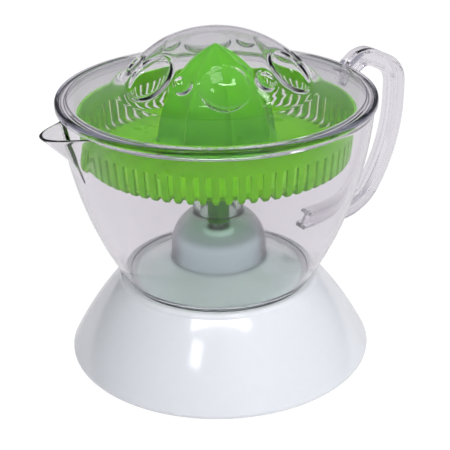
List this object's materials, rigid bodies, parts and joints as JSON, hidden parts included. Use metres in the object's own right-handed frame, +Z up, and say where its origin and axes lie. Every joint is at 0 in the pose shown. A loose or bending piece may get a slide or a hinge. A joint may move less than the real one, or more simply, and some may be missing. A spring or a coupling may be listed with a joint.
{
  "type": "citrus press juicer",
  "caption": "Electric citrus press: ridged green cone and slotted strainer in a clear jug with lip and bar handle, under a dimpled clear cover, on a flared white motor base.",
  "frame": {"origin": "on the drive axis at table level, under the feet", "axes": "+Z up along the drive axis, +X towards the handle, -X towards the pouring lip, +Y towards the lead gland at the back"},
  "size_m": [0.2361, 0.177, 0.1923],
  "materials": {
    "clear_plastic": "clear, glossy",
    "green_plastic": "lime green, slightly translucent, satin gloss",
    "dark_green_plastic": "dark green, satin gloss",
    "white_plastic": "bluish white, high gloss",
    "black_rubber": "matt",
    "steel": "plain",
    "bronze": "sintered",
    "cream_plastic": "natural, satin",
    "copper": "enamelled wire",
    "ferrite": "dark, matt"
  },
  "bodies": {
    "base": {"base_housing": "white_plastic", "bottom_cover": "white_plastic", "rubber_feet": "black_rubber", "cover_screws": "steel", "cord_gland": "black_rubber", "upper_shaft_bush": "bronze", "shaft_seal": "black_rubber", "return_spring": "steel", "gear_bush": "bronze", "idler_axle": "steel", "idler_clip": "steel", "gear_plate": "steel", "gear_plate_screws": "steel", "stator_core": "steel", "coil_bobbins": "cream_plastic", "coil_windings": "copper", "rotor_bushes": "bronze", "motor_bracket": "steel", "stator_spacers": "steel", "motor_screws": "steel", "switch_body": "ferrite"},
    "jug": {"juice_jug": "clear_plastic", "jug_core": "clear_plastic", "pouring_lip": "clear_plastic", "jug_handle": "clear_plastic"},
    "strainer": {"strainer_basket": "green_plastic"},
    "bush": {"hub_bush": "dark_green_plastic"},
    "cone": {"reamer_cone": "green_plastic"},
    "lid": {"dust_cover": "clear_plastic"},
    "cup": {"thrust_cup": "cream_plastic"},
    "shaft": {"drive_shaft": "steel"},
    "output": {"output_gear": "cream_plastic"},
    "idler": {"idler_gear": "cream_plastic"},
    "rotor": {"rotor_magnet": "ferrite", "rotor_shaft": "steel", "motor_pinion": "cream_plastic"},
    "lever": {"switch_lever": "steel"},
    "button": {"switch_button": "cream_plastic"}
  },
  "joints": [
    {"name": "jug_lift", "type": "slide", "parent": "base", "child": "jug", "axis": [0, 0, 1], "range_m": [0, 0.07]},
    {"name": "strainer_lift", "type": "slide", "parent": "jug", "child": "strainer", "axis": [0, 0, 1], "range_m": [0, 0.06]},
    {"name": "lid_lift", "type": "slide", "parent": "strainer", "child": "lid", "axis": [0, 0, 1], "range_m": [0, 0.07]},
    {"name": "gear_spin", "type": "hinge", "parent": "base", "child": "output", "pos_m": [0, 0, 0.0435], "axis": [0, 0, 1], "continuous": true},
    {"name": "cone_spin", "type": "hinge", "parent": "strainer", "child": "bush", "pos_m": [0, 0, 0.128], "axis": [0, 0, 1], "continuous": true},
    {"name": "shaft_press", "type": "slide", "parent": "base", "child": "cup", "axis": [0, 0, -1], "range_m": [0, 0.0025], "stiffness_N_per_m": 3000, "springref_m": -0.001, "deforming": ["return_spring"]},
    {"name": "shaft_spin", "type": "hinge", "parent": "cup", "child": "shaft", "pos_m": [0, 0, 0.065], "axis": [0, 0, 1], "continuous": true},
    {"name": "cone_press", "type": "slide", "parent": "bush", "child": "cone", "axis": [0, 0, -1], "range_m": [0, 0.0025]},
    {"name": "idler_spin", "type": "hinge", "parent": "base", "child": "idler", "pos_m": [0.0313, 0.00838, 0.04], "axis": [0, 0, 1], "continuous": true},
    {"name": "rotor_spin", "type": "hinge", "parent": "base", "child": "rotor", "pos_m": [0.02, 0.034, 0.02], "axis": [0, 0, 1], "continuous": true},
    {"name": "switch_lever_tilt", "type": "hinge", "parent": "base", "child": "lever", "pos_m": [-0.032, 0, 0.02], "axis": [0, 1, 0], "range_deg": [0, 7]},
    {"name": "switch_button_travel", "type": "slide", "parent": "base", "child": "button", "axis": [0, 0, -1], "range_m": [0, 0.001]}
  ],
  "couplings": [
    {"joint": "cone_spin", "follows": "gear_spin", "ratio": 1},
    {"joint": "shaft_spin", "follows": "gear_spin", "ratio": 1},
    {"joint": "idler_spin", "follows": "gear_spin", "ratio": -5},
    {"joint": "rotor_spin", "follows": "gear_spin", "ratio": 30},
    {"joint": "cone_press", "follows": "shaft_press", "ratio": 1},
    {"joint": "switch_lever_tilt", "follows": "shaft_press", "rad_per_m": 47.619},
    {"joint": "switch_button_travel", "follows": "shaft_press", "ratio": 0.381}
  ]
}
